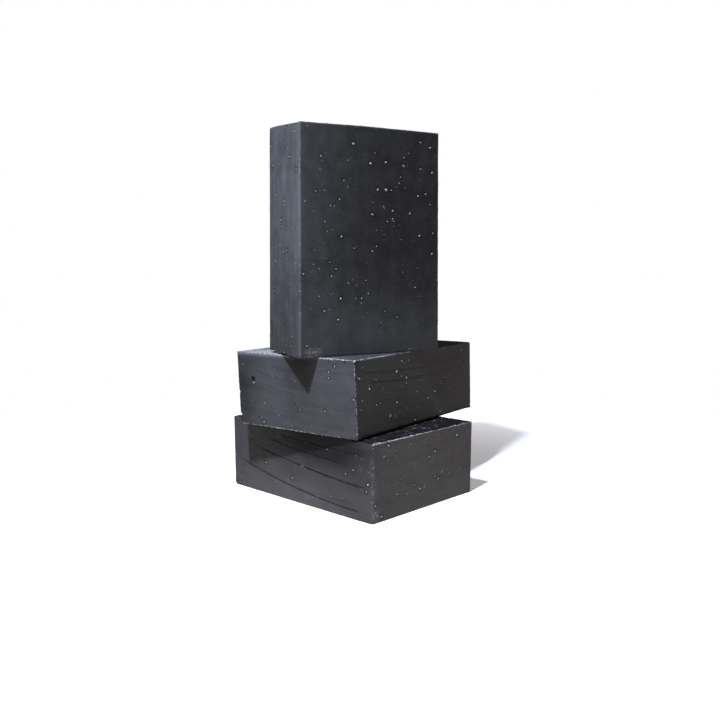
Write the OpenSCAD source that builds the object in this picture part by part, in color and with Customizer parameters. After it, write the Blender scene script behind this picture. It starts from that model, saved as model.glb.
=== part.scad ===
// Three hand-cut charcoal bars in a stack. The lower and the middle bar lie flat, the upper bar stands
// on its end, and each is turned on the one below. Pale grains and thin flakes sit in the cut faces.
// Millimetres. The origin is the centre of the lower bar's resting face. +X runs along the lower bar's
// length and +Z is up. The four sides of a bar are counted front (-Y), right (+X), back, left.

/* [Lower bar] */
// Length of the lower bar, front side
lower_length = 80.5; // [60:0.5:110]
// Width of the lower bar, right side
lower_width = 58; // [42:0.5:80]
// Thickness of the lower bar, which lies flat
lower_thickness = 29.5; // [15:0.5:45]
// How far each side's top edge stands out past its bottom edge: front, right, back, left
lower_lean = [0, 0.6, -0.1, 0.1]; // [-2:0.1:2]

/* [Middle bar] */
// Length of the middle bar, right side
middle_length = 84; // [60:0.5:110]
// Width of the middle bar, front side
middle_width = 58; // [42:0.5:80]
// Thickness of the middle bar, which lies flat
middle_thickness = 29; // [15:0.5:45]
// How far each side's top edge stands out past its bottom edge: front, right, back, left
middle_lean = [1.1, -0.7, 0.1, 0.1]; // [-2:0.1:2]
// Turn of the middle bar on the lower bar, in degrees
middle_turn = 8; // [-20:0.5:20]
// Shift of the middle bar's centre from the lower bar's centre, along the lower bar's X and Y
middle_shift = [-1.25, 7.5]; // [-12:0.25:12]

/* [Upper bar] */
// Length of the upper bar, which stands on its end
upper_length = 83.5; // [60:0.5:110]
// Width of the upper bar, right side
upper_width = 60; // [42:0.5:80]
// Thickness of the upper bar, front side
upper_thickness = 26.5; // [15:0.5:45]
// How far each side's top edge stands out past its bottom edge: front, right, back, left
upper_lean = [-1.2, -0.4, -0.1, -0.9]; // [-2:0.1:2]
// Turn of the upper bar on the middle bar, in degrees
upper_turn = -23.5; // [-30:0.5:30]
// Shift of the upper bar's centre from the middle bar's centre, along the middle bar's X and Y
upper_shift = [9.5, -16]; // [-18:0.5:18]

/* [Grains and flakes] */
// Grains in each square centimetre of a face, at least
grain_density = 0.6; // [0:0.1:1.2]
// Edge of the smallest grain
grain_smallest = 0.5; // [0.3:0.05:0.7]
// Edge of the largest scattered grain
grain_largest = 0.85; // [0.7:0.05:1.1]
// Flakes in each square centimetre of a face
flake_density = 0.15; // [0:0.05:0.5]
// Length of a flake
flake_length = 2; // [1.2:0.1:2.5]
// Width and thickness of a flake
flake_width = 0.4; // [0.2:0.05:0.6]
// Opening of the pit that a lost grain left in the middle bar's front side
pit_size = 1.3; // [0.6:0.1:2]

/* [Hidden] */

lower_size = [lower_length, lower_width, lower_thickness];
middle_size = [middle_width, middle_length, middle_thickness];
upper_size = [upper_thickness, upper_width, upper_length];

// Sides that carry grains: the four upright sides, and on the upper bar its top end as well
UPRIGHT_SIDES = [0, 1, 2, 3];
TOP = 4;

// The clearest grains, by side: [share of the way across, share of the way up, edge in mm]
lower_clear = [
    [[0.14, 0.74, 0.9], [0.26, 0.43, 0.9], [0.31, 0.08, 0.7], [0.31, 0.78, 0.7], [0.46, 0.31, 0.9],
     [0.44, 0.74, 0.6], [0.83, 0.55, 0.7], [0.88, 0.62, 0.8], [0.93, 0.78, 0.7], [0.93, 0.50, 0.6],
     [0.96, 0.39, 1.0], [0.97, 0.48, 1.0]],
    [[0.03, 0.22, 0.9], [0.08, 0.07, 1.0], [0.14, 0.93, 0.9], [0.26, 0.47, 0.7], [0.35, 0.88, 0.7],
     [0.40, 0.34, 0.8], [0.45, 0.27, 1.1], [0.54, 0.65, 0.9], [0.60, 0.71, 1.0], [0.61, 0.37, 0.7],
     [0.64, 0.33, 0.9], [0.83, 0.85, 0.9]]];
middle_clear = [
    [[0.22, 0.06, 1.0], [0.47, 0.07, 0.7], [0.75, 0.32, 0.9], [0.79, 0.75, 0.8], [0.79, 0.83, 0.8],
     [0.84, 0.90, 0.8], [0.98, 0.51, 0.9]],
    [[0.03, 0.76, 0.8], [0.10, 0.61, 1.0], [0.15, 0.39, 0.8], [0.31, 0.36, 1.1], [0.31, 0.76, 0.9],
     [0.35, 0.69, 0.7], [0.39, 0.58, 0.9], [0.39, 0.66, 1.0], [0.46, 0.06, 0.9], [0.51, 0.58, 0.9],
     [0.58, 0.31, 0.9], [0.64, 0.38, 1.1], [0.73, 0.55, 1.1]]];
upper_clear = [
    [[0.13, 0.83, 0.9], [0.40, 0.59, 1.0], [0.41, 0.56, 0.9], [0.58, 0.46, 0.9], [0.67, 0.86, 1.0],
     [0.88, 0.80, 1.1]],
    [[0.02, 0.36, 0.9], [0.11, 0.71, 0.7], [0.15, 0.86, 0.9], [0.16, 0.20, 1.0], [0.17, 0.58, 0.7],
     [0.20, 0.41, 0.9], [0.21, 0.65, 0.8], [0.21, 0.35, 0.8], [0.24, 0.38, 1.0], [0.25, 0.16, 0.9],
     [0.27, 0.25, 1.1], [0.27, 0.68, 0.9], [0.28, 0.52, 1.1], [0.30, 0.76, 0.8], [0.37, 0.47, 0.9],
     [0.37, 0.92, 1.0], [0.42, 0.25, 0.9], [0.45, 0.33, 0.7], [0.49, 0.84, 1.0], [0.50, 0.46, 0.9],
     [0.50, 0.62, 1.1], [0.53, 0.48, 0.9], [0.54, 0.73, 0.9], [0.59, 0.19, 0.8], [0.60, 0.85, 1.1],
     [0.60, 0.73, 0.9], [0.61, 0.59, 0.9], [0.64, 0.73, 0.9], [0.65, 0.64, 1.1], [0.68, 0.16, 0.8],
     [0.71, 0.79, 0.9], [0.73, 0.84, 1.0], [0.84, 0.71, 0.9], [0.85, 0.53, 1.1], [0.86, 0.95, 0.8],
     [0.86, 0.83, 0.8], [0.90, 0.72, 0.9], [0.93, 0.93, 0.9], [0.95, 0.45, 0.9], [0.95, 0.82, 0.9]]];

// Where the pit lies on the middle bar's front side: [share of the way across, share of the way up]
PIT_PLACE = [0.14, 0.64];
// Strip along each edge of a face that holds no scattered piece
EDGE_STRIP = 3;
// Least distance between the centres of two grains, and of a flake and its neighbours
GRAIN_GAP = 1.9;
FLAKE_GAP = 2.8;
// Share of a grain's edge, or of a flake's width, that its centre lies below the face
SINK = 0.4;

// Width and height of one face of a bar, and the share-of-face places turned into places from its centre
function face_size(size, side) =
    side == TOP ? [size.x, size.y] : [side % 2 == 0 ? size.x : size.y, size.z];
function from_shares(share, face) = [(share[0] - 0.5) * face.x, (share[1] - 0.5) * face.y];
function side_list(lists, side) = side < len(lists) ? lists[side] : [];
function area_cm2(face) = face.x * face.y / 100;

// The places that keep the gap to every place in taken and to every earlier one in the list
function kept_apart(places, gap, taken = []) = [
    for (i = [0:1:len(places) - 1])
        if (len([for (other = taken) if (norm(places[i] - other) < gap) 1]) == 0
            && len([for (j = [0:1:i - 1]) if (norm(places[i] - places[j]) < gap) 1]) == 0)
            places[i]];

// Random places on a face, clear of its edges
function scattered(face, count, seed) =
    let (across = rands(-0.5, 0.5, count + 1, seed),
         up = rands(-0.5, 0.5, count + 1, seed + 1))
    [for (i = [0:1:count - 1])
        [across[i] * (face.x - 2 * EDGE_STRIP), up[i] * (face.y - 2 * EDGE_STRIP)]];

// Places of a face's grains: the clear ones, then as many scattered ones as the density still asks for
function clear_places(face, clear) = [for (grain = clear) from_shares(grain, face)];
function scattered_places(face, clear, seed) =
    let (count = max(0, round(grain_density * area_cm2(face)) - len(clear)))
    kept_apart(scattered(face, count, seed), GRAIN_GAP, clear_places(face, clear));
function flake_places(face, clear, seed) =
    kept_apart(scattered(face, round(flake_density * area_cm2(face)), seed + 7), FLAKE_GAP,
               concat(clear_places(face, clear), scattered_places(face, clear, seed)));

// A block whose upright sides lean a little, as a hand-cut bar's do
module block(size, lean) {
    module profile(width, first, last) {
        polygon([[-width / 2 + first / 2, 0], [width / 2 - last / 2, 0],
                 [width / 2 + last / 2, size.z], [-width / 2 - first / 2, size.z]]);
    }
    intersection() {
        rotate([90, 0, 0]) linear_extrude(2 * size.y, center = true) profile(size.x, lean[3], lean[1]);
        rotate([90, 0, 90]) linear_extrude(2 * size.x, center = true) profile(size.y, lean[0], lean[2]);
    }
}

// Moves children onto a face: their X runs to the right along it, Y up it and Z out of it
module on_face(size, lean, side) {
    if (side == TOP) {
        translate([0, 0, size.z]) children();
    } else {
        depth = (side % 2 == 0 ? size.y : size.x) / 2;
        tilt = atan(lean[side] / size.z);
        rotate([0, 0, 90 * side]) translate([0, -depth, size.z / 2]) rotate([90 + tilt, 0, 0]) children();
    }
}

// One angular grain, sunk in the face at a place and turned at random by its own seed
module grain(place, edge, seed) {
    translate([place.x, place.y, -SINK * edge]) rotate(rands(0, 90, 3, seed)) cube(edge, center = true);
}

// One thin flake, lying in the face
module flake(place, seed) {
    translate([place.x, place.y, -SINK * flake_width]) rotate([0, 0, rands(0, 180, 1, seed)[0]])
        rotate([45, 0, 0]) cube([flake_length, flake_width, flake_width], center = true);
}

// Every grain of one bar
module grains(size, lean, sides, clear, seed) {
    for (side = sides) on_face(size, lean, side) {
        face = face_size(size, side);
        marked = side_list(clear, side);
        face_seed = seed + 20 * side;
        places = scattered_places(face, marked, face_seed);
        edges = rands(grain_smallest, grain_largest, len(places) + 1, face_seed + 3);
        for (i = [0:1:len(marked) - 1])
            grain(from_shares(marked[i], face), marked[i][2], face_seed + 1000 + i);
        for (i = [0:1:len(places) - 1]) grain(places[i], edges[i], face_seed + 2000 + i);
    }
}

// Every flake of one bar
module flakes(size, lean, sides, clear, seed) {
    for (side = sides) on_face(size, lean, side) {
        face_seed = seed + 20 * side;
        places = flake_places(face_size(size, side), side_list(clear, side), face_seed);
        for (i = [0:1:len(places) - 1]) flake(places[i], face_seed + 3000 + i);
    }
}

// Where the middle bar lies on the lower bar, and where the upper bar stands on the middle bar
module on_lower_bar() {
    translate([middle_shift.x, middle_shift.y, lower_thickness]) rotate([0, 0, middle_turn]) children();
}
module on_middle_bar() {
    on_lower_bar() translate([upper_shift.x, upper_shift.y, middle_thickness])
        rotate([0, 0, upper_turn]) children();
}

module lower_grains() {
    color("#cfc8b8") grains(lower_size, lower_lean, UPRIGHT_SIDES, lower_clear, 100);
}
module lower_flakes() {
    color("#a39c8c") flakes(lower_size, lower_lean, UPRIGHT_SIDES, lower_clear, 100);
}
module lower_bar() {
    color("#333236") difference() {
        block(lower_size, lower_lean);
        lower_grains();
        lower_flakes();
    }
}

module middle_grains() {
    color("#cfc8b8") on_lower_bar() grains(middle_size, middle_lean, UPRIGHT_SIDES, middle_clear, 300);
}
module middle_flakes() {
    color("#a39c8c") on_lower_bar() flakes(middle_size, middle_lean, UPRIGHT_SIDES, middle_clear, 300);
}
module middle_bar() {
    color("#2f2e31") difference() {
        on_lower_bar() difference() {
            block(middle_size, middle_lean);
            on_face(middle_size, middle_lean, 0)
                grain(from_shares(PIT_PLACE, face_size(middle_size, 0)), pit_size, 41);
        }
        middle_grains();
        middle_flakes();
    }
}

module upper_grains() {
    color("#cfc8b8") on_middle_bar()
        grains(upper_size, upper_lean, concat(UPRIGHT_SIDES, TOP), upper_clear, 500);
}
module upper_flakes() {
    color("#a39c8c") on_middle_bar()
        flakes(upper_size, upper_lean, concat(UPRIGHT_SIDES, TOP), upper_clear, 500);
}
module upper_bar() {
    color("#35353a") difference() {
        on_middle_bar() block(upper_size, upper_lean);
        upper_grains();
        upper_flakes();
    }
}

lower_bar();
lower_grains();
lower_flakes();
middle_bar();
middle_grains();
middle_flakes();
upper_bar();
upper_grains();
upper_flakes();
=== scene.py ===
"""Looks of a stack of three hand-cut charcoal bars.

Each bar is a dense closed mesh with rounded, chipped edges and the drag lines that its cutting left.
Pale crystals and thin shards sit where the frame has its grains and flakes, fine specks lie between
them, and crumbs cling to the edges. Every piece rides on its own bar's body.
"""

import logging
import math
from dataclasses import dataclass, field
from enum import Enum
from itertools import combinations

import bmesh
import bpy
import numpy as np
from mathutils import Matrix, Vector


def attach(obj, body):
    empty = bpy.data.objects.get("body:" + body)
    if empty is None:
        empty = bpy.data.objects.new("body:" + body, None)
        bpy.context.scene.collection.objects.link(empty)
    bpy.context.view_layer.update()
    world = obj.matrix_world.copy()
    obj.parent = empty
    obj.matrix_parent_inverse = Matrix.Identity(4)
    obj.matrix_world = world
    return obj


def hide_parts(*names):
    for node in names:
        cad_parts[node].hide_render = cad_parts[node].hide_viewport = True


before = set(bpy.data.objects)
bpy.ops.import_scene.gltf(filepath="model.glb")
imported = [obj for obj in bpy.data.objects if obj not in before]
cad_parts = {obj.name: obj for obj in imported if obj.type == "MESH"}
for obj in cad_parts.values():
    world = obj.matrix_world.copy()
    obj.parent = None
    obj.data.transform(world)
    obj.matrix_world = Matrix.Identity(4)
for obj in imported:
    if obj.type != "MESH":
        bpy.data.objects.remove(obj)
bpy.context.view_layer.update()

LOG = logging.getLogger("charcoal_stack")
MM = 0.001

Colour = tuple[float, float, float]
Place = tuple[float, float, float]


# ---------------------------------------------------------------- sides, edges and marks of a bar


class Side(Enum):
    """A side of a bar: the axis that it faces along, and the sign of that direction."""

    FRONT = (1, -1)
    RIGHT = (0, 1)
    BACK = (1, 1)
    LEFT = (0, -1)
    TOP = (2, 1)
    BOTTOM = (2, -1)

    @property
    def axis(self) -> int:
        """Index of the axis that this side faces along."""
        return self.value[0]

    def depth(self, points: np.ndarray, size: np.ndarray) -> np.ndarray:
        """How far each point lies inside this side.

        Args:
            points: Places in a bar's own box, from 0 to its size, in mm.
            size: The box's three lengths in mm.

        Returns:
            One depth in mm for each point.
        """
        place = points[:, self.axis]
        return size[self.axis] - place if self.value[1] > 0 else place

    def spread(self, points: np.ndarray, size: np.ndarray) -> tuple[np.ndarray, np.ndarray]:
        """Places as shares of the way across and up this side, as seen from outside.

        Args:
            points: Places in a bar's own box, in mm.
            size: The box's three lengths in mm.

        Returns:
            The shares across, from the left edge, and the shares up.
        """
        x, y, z = (points / size).T
        across = {Side.RIGHT: y, Side.BACK: 1 - x, Side.LEFT: 1 - y}.get(self, x)
        return across, y if self.axis == 2 else z

    def span(self, size: np.ndarray) -> tuple[float, float]:
        """Width and height of this side in mm."""
        return (size[1] if self.axis == 0 else size[0]), (size[1] if self.axis == 2 else size[2])


@dataclass(frozen=True)
class Edge:
    """The edge between two sides.

    Attributes:
        sides: The two sides that meet in it.
        radius: Mean radius of its rounding in mm.
        ragged: Share by which that radius swings along the edge.
        wear: Strength of the pale rubbed line on it, from 0 to 1.
        crumbs: Crumbs for each centimetre.
    """

    sides: tuple[Side, Side]
    radius: float = 0.35
    ragged: float = 0.35
    wear: float = 0.08
    crumbs: float = 1.0


@dataclass(frozen=True)
class DragLine:
    """One long groove that a crystal under the cutting wire dragged across a side.

    Attributes:
        side: The side that it runs on.
        start: Where it begins, as shares across and up the side.
        end: Where it ends.
        sag: How far its middle hangs below the straight line, in mm.
        depth: Depth of the groove in mm, or below 0 for a raised burr.
        width: Half width of the groove in mm.
        lip_highlight: Strength of the pale painted highlight along its lower side, where a burr catches the
            light, from 0 to 1.
    """

    side: Side
    start: tuple[float, float]
    end: tuple[float, float]
    sag: float
    depth: float = 0.2
    width: float = 0.24
    lip_highlight: float = 0.12

    def profile(self, points: np.ndarray, size: np.ndarray, shift: float = 0.0) -> np.ndarray:
        """Cut of the groove at each point, from 0 off the line to 1 in its bottom.

        Args:
            points: Places in the bar's own box, in mm.
            size: The box's three lengths in mm.
            shift: How far below the line the profile is wanted, in mm.

        Returns:
            One share for each point.
        """
        across, up = self.side.spread(points, size)
        along = (across - self.start[0]) / (self.end[0] - self.start[0])
        line = self.start[1] + (self.end[1] - self.start[1]) * along
        height = self.side.span(size)[1]
        off = (up - line) * height + self.sag * 4 * along * (1 - along) + shift
        ends = ease(along, 0.0, 0.12) * (1 - ease(along, 0.85, 1.0))
        return np.exp(-((off / self.width) ** 2)) * ends * near_side(points, size, self.side)


@dataclass(frozen=True)
class Scoop:
    """A chip or pit, pressed in as a rough ball.

    Attributes:
        place: Its middle on the bar, as shares of the three lengths: 0 or 1 puts it on that side.
        radius: Radius of the ball in mm.
        depth: How deep the ball goes in, in mm.
    """

    place: Place
    radius: float
    depth: float

    def press(self, points: np.ndarray, size: np.ndarray, seed: int) -> tuple[np.ndarray, np.ndarray]:
        """Pushes points out of the ball.

        Args:
            points: Places on the bar in mm.
            size: The bar's three lengths in mm.
            seed: Seed of the ball's roughness.

        Returns:
            The points, and whether each one was moved.
        """
        outward = np.array([(share >= 1) - float(share <= 0) for share in self.place])
        outward /= np.linalg.norm(outward)
        centre = np.array(self.place) * size + outward * (self.radius - self.depth)
        arm = points - centre
        length = np.linalg.norm(arm, axis=1)
        reach = self.radius * (0.86 + 0.28 * lumps(points, 0.9, seed))
        inside = length < reach
        moved = points.copy()
        moved[inside] = centre + arm[inside] * (reach / np.maximum(length, 1e-6))[inside, None]
        return moved, inside


@dataclass(frozen=True)
class Patch:
    """A soft-edged patch of wear or haze on a bar.

    Attributes:
        place: Its middle, as shares of the three lengths.
        reach: How far it spreads along each axis, in mm.
        strength: What it adds in its middle.
    """

    place: Place
    reach: Place
    strength: float

    def weight(self, points: np.ndarray, size: np.ndarray) -> np.ndarray:
        """What the patch adds at each point."""
        off = (points - np.array(self.place) * size) / np.array(self.reach)
        return self.strength * np.exp(-(off**2).sum(axis=1))


@dataclass(frozen=True)
class Sweep:
    """The course of the fine drag marks on a side.

    Attributes:
        slope: How far the marks climb from the left edge to the right one, in mm.
        sag: How far their middle hangs below the straight line, in mm.
        upright: Whether the marks run up the side instead of across it.
    """

    slope: float = 0.0
    sag: float = 0.0
    upright: bool = False


# ---------------------------------------------------------------- vector helpers


def ease(value: np.ndarray, low: float, high: float) -> np.ndarray:
    """Smooth step from 0 at low to 1 at high."""
    t = np.clip((value - low) / (high - low), 0, 1)
    return t * t * (3 - 2 * t)


def lumps(points: np.ndarray, size: float, seed: int) -> np.ndarray:
    """Smooth seeded noise from 0 to 1.

    Args:
        points: Places in mm.
        size: Width of one lump in mm.
        seed: Seed of the pattern.

    Returns:
        One value for each point.
    """
    place = points / size + seed * 17.31
    cell = np.floor(place).astype(np.int64)
    t = place - cell
    t = t * t * (3 - 2 * t)
    total = np.zeros(len(points))
    for corner in range(8):
        step = np.array([corner & 1, corner >> 1 & 1, corner >> 2 & 1])
        x, y, z = (cell + step).T
        mixed = (x * 73856093) ^ (y * 19349663) ^ (z * 83492791) ^ (seed * 2654435761)
        mixed = ((mixed ^ (mixed >> 13)) * 1274126177) & 0xFFFFFFFF
        value = ((mixed ^ (mixed >> 15)) & 0xFFFF) / 0xFFFF
        total += value * np.prod(np.where(step, t, 1 - t), axis=1)
    return total


def near_side(points: np.ndarray, size: np.ndarray, side: Side, zone: float = 0.5) -> np.ndarray:
    """1 on a side, falling to 0 within a zone of mm below it."""
    return 1 - ease(side.depth(points, size), 0.0, zone)


def stations(length: float, cell: float, fine: float = 0.14, zone: float = 1.6) -> np.ndarray:
    """Places along a bar's length, closer together near its ends.

    Args:
        length: The length in mm.
        cell: Step between places in the middle, in mm.
        fine: First step at each end, in mm.
        zone: Length of the closer stretch at each end, in mm.

    Returns:
        Places from 0 to length.
    """
    steps = np.linspace(fine, max(cell, fine), max(2, round(2 * zone / (fine + cell))))
    first = np.concatenate([[0], np.cumsum(steps)])
    middle = np.linspace(first[-1], length - first[-1], max(2, round((length - 2 * first[-1]) / cell)) + 1)
    return np.concatenate([first[:-1], middle, length - first[:-1][::-1]])


def closed_grid(axes: list[np.ndarray]) -> tuple[np.ndarray, np.ndarray]:
    """The outer surface of a box as one closed grid.

    Args:
        axes: The places of the grid's lines along X, Y and Z, in mm.

    Returns:
        The points, and the quads as rows of four indices that turn outwards.
    """
    counts = [len(axis) for axis in axes]
    lattice = np.indices(counts)
    shell = np.any([(lattice[k] == 0) | (lattice[k] == counts[k] - 1) for k in range(3)], axis=0)
    index = np.full(counts, -1)
    index[shell] = np.arange(shell.sum())
    points = np.stack([axes[k][lattice[k][shell]] for k in range(3)], axis=1)
    quads = []
    for side in Side:
        sheet = index.take(-1 if side.value[1] > 0 else 0, axis=side.axis)
        ring = [sheet[:-1, :-1], sheet[1:, :-1], sheet[1:, 1:], sheet[:-1, 1:]]
        if (side.value[1] > 0) == (side.axis == 1):
            ring.reverse()
        quads.append(np.stack([corner.ravel() for corner in ring], axis=1))
    return points, np.concatenate(quads)


def islands(node: str) -> list[np.ndarray]:
    """The separate solids of a frame node.

    Args:
        node: The node's name.

    Returns:
        The corners of each solid as an array, in metres.
    """
    work = bmesh.new()
    work.from_mesh(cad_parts[node].data)
    bmesh.ops.remove_doubles(work, verts=work.verts, dist=1e-6)
    found, seen = [], set()
    for start in work.verts:
        if start in seen:
            continue
        seen.add(start)
        group, queue = [], [start]
        while queue:
            vert = queue.pop()
            group.append(tuple(vert.co))
            linked = {edge.other_vert(vert) for edge in vert.link_edges} - seen
            seen |= linked
            queue.extend(linked)
        found.append(np.array(group))
    work.free()
    return found


def link(piece: bpy.types.Object) -> bpy.types.Object:
    """Adds an object to the scene and returns it."""
    bpy.context.scene.collection.objects.link(piece)
    return piece


def new_object(name: str, points: np.ndarray, faces: np.ndarray | None = None) -> bpy.types.Object:
    """Makes a mesh object at the origin.

    Args:
        name: Its name.
        points: Its points in metres.
        faces: Its faces as rows of indices, or None for loose points.

    Returns:
        The linked object.
    """
    mesh = bpy.data.meshes.new(name)
    mesh.from_pydata(points.tolist(), [], [] if faces is None else faces.tolist())
    return link(bpy.data.objects.new(name, mesh))


def set_attribute(piece: bpy.types.Object, name: str, values: np.ndarray) -> None:
    """Stores one number or one vector for each point of a piece's mesh."""
    kind, key = ("FLOAT_VECTOR", "vector") if values.ndim == 2 else ("FLOAT", "value")
    attribute = piece.data.attributes.new(name, kind, "POINT")
    attribute.data.foreach_set(key, values.astype(np.float32).ravel())


# ---------------------------------------------------------------- node trees


class Tree:
    """A node tree under construction, with short calls that add and join its nodes."""

    def __init__(self, tree: bpy.types.NodeTree) -> None:
        """Starts on an empty or a fresh tree."""
        self.tree = tree

    def add(self, kind: str, inputs: dict | None = None, **settings: object) -> bpy.types.Node:
        """Adds a node.

        Args:
            kind: The node's type name.
            inputs: Value or source socket for each input, by name or by index.
            settings: The node's own settings.

        Returns:
            The new node.
        """
        node = self.tree.nodes.new(kind)
        for key, value in settings.items():
            setattr(node, key, value)
        for key, value in (inputs or {}).items():
            if isinstance(value, bpy.types.NodeSocket):
                self.tree.links.new(value, node.inputs[key])
            else:
                node.inputs[key].default_value = value
        return node

    def maths(self, operation: str, first: object, second: object = 0.0) -> bpy.types.NodeSocket:
        """Adds a Math node and returns its result."""
        return self.add("ShaderNodeMath", {0: first, 1: second}, operation=operation).outputs[0]

    def scaled(self, value: object, factor: object, offset: object) -> bpy.types.NodeSocket:
        """Multiplies a value by a factor, adds an offset and returns the result."""
        return self.maths("ADD", self.maths("MULTIPLY", value, factor), offset)

    def noise(self, where: object, scale: object, detail: float, roughness: float) -> bpy.types.NodeSocket:
        """Adds a noise texture and returns its value."""
        inputs = {"Vector": where, "Scale": scale, "Detail": detail, "Roughness": roughness}
        return self.add("ShaderNodeTexNoise", inputs).outputs[0]

    def step(self, value: object, low: object, high: object) -> bpy.types.NodeSocket:
        """Adds a smooth step from 0 at low to 1 at high and returns its result."""
        inputs = {"Value": value, "From Min": low, "From Max": high}
        return self.add("ShaderNodeMapRange", inputs, interpolation_type="SMOOTHSTEP").outputs[0]

    def blend(self, share: object, first: object, second: object) -> bpy.types.NodeSocket:
        """Adds a colour mix from first to second and returns its result."""
        inputs = {0: share, 6: first, 7: second}
        return self.add("ShaderNodeMix", inputs, data_type="RGBA").outputs[2]

    def attribute(self, name: str) -> bpy.types.Node:
        """Adds a node that reads a mesh attribute."""
        return self.add("ShaderNodeAttribute", attribute_name=name)

    def group(self, group: bpy.types.NodeTree, inputs: dict) -> bpy.types.Node:
        """Adds a shader group with its values."""
        return self.add("ShaderNodeGroup", inputs, node_tree=group)

    def join(self, source: bpy.types.NodeSocket, target: bpy.types.NodeSocket) -> None:
        """Links a result to an input."""
        self.tree.links.new(source, target)

    def by_ray(self, light: bpy.types.Node, seen: bpy.types.Node) -> bpy.types.NodeSocket:
        """Mixes two shaders: the second for what the camera sees, the first for all other rays."""
        path = self.add("ShaderNodeLightPath")
        inputs = {0: path.outputs["Is Camera Ray"], 1: light.outputs[0], 2: seen.outputs[0]}
        return self.add("ShaderNodeMixShader", inputs).outputs[0]


def open_group(name: str, kind: str, ins: dict[str, str], outs: dict[str, str]) -> tuple[Tree, dict, object]:
    """Starts a node group.

    Args:
        name: The group's name.
        kind: Type name of its tree.
        ins: Socket type for each input's name.
        outs: Socket type for each output's name.

    Returns:
        The tree, its inputs by name, and the node that takes its outputs.
    """
    group = bpy.data.node_groups.new(name, kind)
    for label, socket in ins.items():
        group.interface.new_socket(label, in_out="INPUT", socket_type="NodeSocket" + socket)
    for label, socket in outs.items():
        group.interface.new_socket(label, in_out="OUTPUT", socket_type="NodeSocket" + socket)
    tree = Tree(group)
    source = tree.add("NodeGroupInput")
    return tree, {label: source.outputs[label] for label in ins}, tree.add("NodeGroupOutput")


class ShaderGroups:
    """The effects that more than one finish uses."""

    def __init__(self) -> None:
        """Builds every group once."""
        self.mottle = self._mottle()
        self.drag = self._drag()
        self.speckle = self._speckle()
        self.wear = self._wear()

    def _mottle(self) -> bpy.types.NodeTree:
        """Coarse and fine unevenness of a solid body: a tone and a height."""
        tree, given, out = open_group(
            "mottle", "ShaderNodeTree",
            {"Vector": "Vector", "Coarse": "Float", "Fine": "Float"}, {"Tone": "Float", "Height": "Float"})
        coarse = tree.noise(given["Vector"], given["Coarse"], detail=4.0, roughness=0.55)
        fine = tree.noise(given["Vector"], given["Fine"], detail=5.0, roughness=0.65)
        tone = tree.scaled(coarse, 0.6, tree.maths("MULTIPLY", fine, 0.4))
        tree.join(tree.step(tone, 0.32, 0.68), out.inputs["Tone"])
        tree.join(fine, out.inputs["Height"])
        return tree.tree

    def _drag(self) -> bpy.types.NodeTree:
        """Fine marks along the course that a side's drag coordinates give: a tone and a height."""
        tree, given, out = open_group(
            "drag_marks", "ShaderNodeTree",
            {"Course": "Vector", "Spacing": "Float"}, {"Tone": "Float", "Height": "Float"})
        broad = tree.noise(given["Course"], given["Spacing"], detail=3.0, roughness=0.5)
        scale = tree.maths("MULTIPLY", given["Spacing"], 3.7)
        narrow = tree.noise(given["Course"], scale, detail=4.0, roughness=0.6)
        tree.join(tree.step(broad, 0.3, 0.7), out.inputs["Tone"])
        height = tree.scaled(broad, 0.65, tree.maths("MULTIPLY", narrow, 0.35))
        tree.join(height, out.inputs["Height"])
        return tree.tree

    def _speckle(self) -> bpy.types.NodeTree:
        """Small round spots in a share of the cells of a fixed pattern: a mask."""
        tree, given, out = open_group(
            "speckle", "ShaderNodeTree",
            {"Vector": "Vector", "Scale": "Float", "Radius": "Float", "Share": "Float"}, {"Mask": "Float"})
        cells = tree.add("ShaderNodeTexVoronoi", {"Vector": given["Vector"], "Scale": given["Scale"]})
        pick = tree.add("ShaderNodeSeparateColor", {"Color": cells.outputs["Color"]})
        chosen = tree.maths("LESS_THAN", pick.outputs[0], given["Share"])
        radius = tree.maths("MULTIPLY", given["Radius"], tree.maths("ADD", pick.outputs[1], 0.35))
        spot = tree.step(cells.outputs["Distance"], radius, tree.maths("MULTIPLY", radius, 0.5))
        tree.join(tree.maths("MULTIPLY", chosen, spot), out.inputs["Mask"])
        return tree.tree

    def _wear(self) -> bpy.types.NodeTree:
        """A rubbed or scuffed surface, and the painted highlights and sheen that share its mask, broken up by
        fine unevenness: a mask.
        """
        tree, given, out = open_group(
            "rubbed", "ShaderNodeTree",
            {"Vector": "Vector", "Amount": "Float", "Scale": "Float"}, {"Mask": "Float"})
        noise = tree.noise(given["Vector"], given["Scale"], detail=4.0, roughness=0.7)
        broken = tree.maths("MULTIPLY", given["Amount"], tree.step(noise, 0.36, 0.66))
        tree.join(tree.step(broken, 0.05, 0.75), out.inputs["Mask"])
        return tree.tree


# ---------------------------------------------------------------- finishes


def rgba(colour: Colour) -> tuple[float, float, float, float]:
    """A colour with full opacity."""
    return (*colour, 1.0)


def open_finish(name: str) -> tuple[bpy.types.Material, Tree, bpy.types.Node, bpy.types.NodeSocket]:
    """Starts a material.

    Args:
        name: Its name.

    Returns:
        The material, its tree, its shader, and the socket that gives each place on the piece.
    """
    made = bpy.data.materials.new(name)
    made.use_nodes = True
    tree = Tree(made.node_tree)
    where = tree.add("ShaderNodeTexCoord").outputs["Object"]
    return made, tree, made.node_tree.nodes["Principled BSDF"], where


def close_finish(tree: Tree, shader: bpy.types.Node, colour: object, rough: object,
                 height: object, strength: float, relief: float) -> None:
    """Joins the looks to a material's shader.

    Args:
        tree: The material's tree.
        shader: Its shader.
        colour: The socket of its colour.
        rough: The socket of its roughness.
        height: The socket of its fine height.
        strength: Strength of that height.
        relief: How high it stands, in metres.
    """
    bump = tree.add("ShaderNodeBump", {"Height": height, "Strength": strength, "Distance": relief})
    for label, result in (("Base Color", colour), ("Roughness", rough), ("Normal", bump.outputs[0])):
        tree.join(result, shader.inputs[label])


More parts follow.
